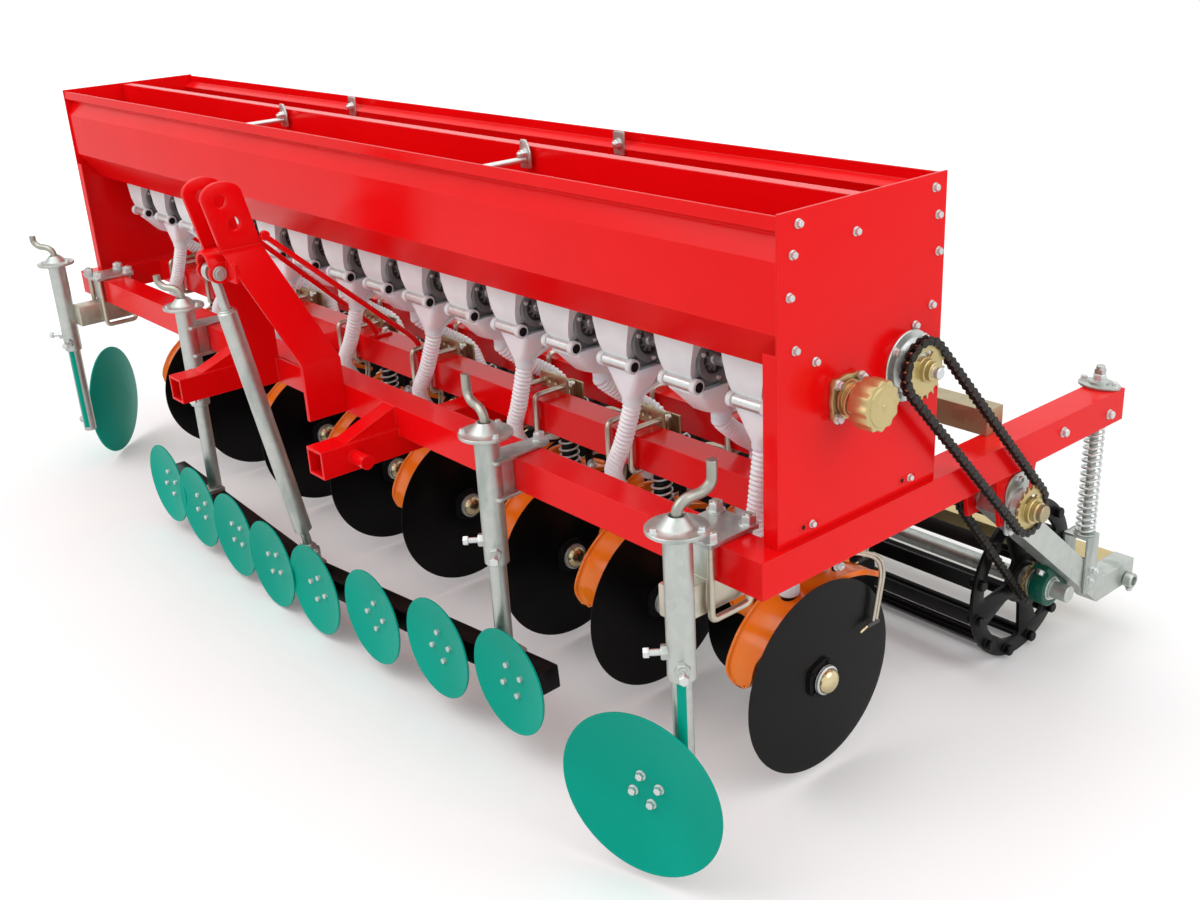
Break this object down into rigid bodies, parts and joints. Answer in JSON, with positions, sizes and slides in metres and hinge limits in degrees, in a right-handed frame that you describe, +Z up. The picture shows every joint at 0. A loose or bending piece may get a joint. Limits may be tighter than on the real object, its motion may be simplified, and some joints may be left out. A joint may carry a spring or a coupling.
{
  "type": "mounted disc seed drill",
  "caption": "Tractor-mounted seed drill with grain hopper, metering rows, disc openers, levelling plates on screw jacks and a chain-driven cage roller.",
  "frame": {"origin": "middle of the outline on the ground plane under the machine", "axes": "+X across the machine towards its chain side, +Y from the hitch towards the roller, +Z up"},
  "size_m": [2.7764, 1.312, 1.039],
  "materials": {
    "red_enamel": "gloss enamel",
    "orange_enamel": "gloss enamel",
    "green_enamel": "gloss enamel",
    "dark_green_enamel": "satin enamel",
    "zinc_plate": "zinc plated",
    "yellow_zinc_plate": "yellow zinc plated",
    "white_plastic": "matte white plastic",
    "black_enamel": "semi-gloss black",
    "chain_steel": "oiled dark steel"
  },
  "bodies": {
    "frame": {"main_frame": "red_enamel", "hopper_shell": "red_enamel", "hopper_end_left": "red_enamel", "hopper_end_right": "red_enamel", "hopper_divider": "red_enamel", "meter_row": "white_plastic", "opener_arms_front": "orange_enamel", "opener_arms_rear": "orange_enamel", "levelling_gang": "green_enamel", "jack_inner_left": "zinc_plate", "jack_inner_right": "zinc_plate", "jack_outer_left": "zinc_plate", "jack_outer_right": "zinc_plate", "side_disc_left": "green_enamel", "side_disc_right": "green_enamel", "hitch_mast": "red_enamel", "top_brace": "zinc_plate", "drive_flange": "zinc_plate", "rate_knob": "yellow_zinc_plate", "shaft_hanger_left": "red_enamel", "shaft_hanger_right": "red_enamel", "counter_shaft": "zinc_plate", "chain_upper": "chain_steel", "chain_lower": "chain_steel", "roller_arm_left": "zinc_plate", "roller_arm_right": "zinc_plate", "arm_cross_bar": "yellow_zinc_plate", "roller_bearing_left": "dark_green_enamel", "roller_bearing_right": "dark_green_enamel", "spring_rod_left": "zinc_plate", "spring_rod_right": "zinc_plate", "rear_step": "yellow_zinc_plate"},
    "roller": {"cage_roller": "black_enamel"},
    "disc_01": {"opener_disc_01": "black_enamel"},
    "disc_02": {"opener_disc_02": "black_enamel"},
    "disc_03": {"opener_disc_03": "black_enamel"},
    "disc_04": {"opener_disc_04": "black_enamel"},
    "disc_05": {"opener_disc_05": "black_enamel"},
    "disc_06": {"opener_disc_06": "black_enamel"},
    "disc_07": {"opener_disc_07": "black_enamel"},
    "disc_08": {"opener_disc_08": "black_enamel"},
    "disc_09": {"opener_disc_09": "black_enamel"},
    "disc_10": {"opener_disc_10": "black_enamel"},
    "disc_11": {"opener_disc_11": "black_enamel"},
    "disc_12": {"opener_disc_12": "black_enamel"},
    "disc_13": {"opener_disc_13": "black_enamel"},
    "disc_14": {"opener_disc_14": "black_enamel"},
    "disc_15": {"opener_disc_15": "black_enamel"},
    "disc_16": {"opener_disc_16": "black_enamel"}
  },
  "joints": [
    {"name": "roller_turn", "type": "hinge", "parent": "frame", "child": "roller", "pos_m": [0.04319, 0.4, 0.1625], "axis": [1, 0, 0], "continuous": true},
    {"name": "disc_01_turn", "type": "hinge", "parent": "frame", "child": "disc_01", "pos_m": [1.19719, -0.186, 0.194], "axis": [1, 0, 0], "continuous": true},
    {"name": "disc_02_turn", "type": "hinge", "parent": "frame", "child": "disc_02", "pos_m": [1.03319, -0.01, 0.194], "axis": [1, 0, 0], "continuous": true},
    {"name": "disc_03_turn", "type": "hinge", "parent": "frame", "child": "disc_03", "pos_m": [0.80319, -0.186, 0.194], "axis": [1, 0, 0], "continuous": true},
    {"name": "disc_04_turn", "type": "hinge", "parent": "frame", "child": "disc_04", "pos_m": [0.92819, -0.01, 0.194], "axis": [1, 0, 0], "continuous": true},
    {"name": "disc_05_turn", "type": "hinge", "parent": "frame", "child": "disc_05", "pos_m": [0.53319, -0.186, 0.194], "axis": [1, 0, 0], "continuous": true},
    {"name": "disc_06_turn", "type": "hinge", "parent": "frame", "child": "disc_06", "pos_m": [0.66819, -0.01, 0.194], "axis": [1, 0, 0], "continuous": true},
    {"name": "disc_07_turn", "type": "hinge", "parent": "frame", "child": "disc_07", "pos_m": [0.17019, -0.186, 0.194], "axis": [1, 0, 0], "continuous": true},
    {"name": "disc_08_turn", "type": "hinge", "parent": "frame", "child": "disc_08", "pos_m": [0.35319, -0.01, 0.194], "axis": [1, 0, 0], "continuous": true},
    {"name": "disc_09_turn", "type": "hinge", "parent": "frame", "child": "disc_09", "pos_m": [-0.13481, -0.186, 0.194], "axis": [1, 0, 0], "continuous": true},
    {"name": "disc_10_turn", "type": "hinge", "parent": "frame", "child": "disc_10", "pos_m": [0.01819, -0.01, 0.194], "axis": [1, 0, 0], "continuous": true},
    {"name": "disc_11_turn", "type": "hinge", "parent": "frame", "child": "disc_11", "pos_m": [-0.47081, -0.186, 0.194], "axis": [1, 0, 0], "continuous": true},
    {"name": "disc_12_turn", "type": "hinge", "parent": "frame", "child": "disc_12", "pos_m": [-0.30181, -0.01, 0.194], "axis": [1, 0, 0], "continuous": true},
    {"name": "disc_13_turn", "type": "hinge", "parent": "frame", "child": "disc_13", "pos_m": [-0.82681, -0.186, 0.194], "axis": [1, 0, 0], "continuous": true},
    {"name": "disc_14_turn", "type": "hinge", "parent": "frame", "child": "disc_14", "pos_m": [-0.64681, -0.01, 0.194], "axis": [1, 0, 0], "continuous": true},
    {"name": "disc_15_turn", "type": "hinge", "parent": "frame", "child": "disc_15", "pos_m": [-1.05181, -0.186, 0.194], "axis": [1, 0, 0], "continuous": true},
    {"name": "disc_16_turn", "type": "hinge", "parent": "frame", "child": "disc_16", "pos_m": [-0.93181, -0.01, 0.194], "axis": [1, 0, 0], "continuous": true}
  ]
}
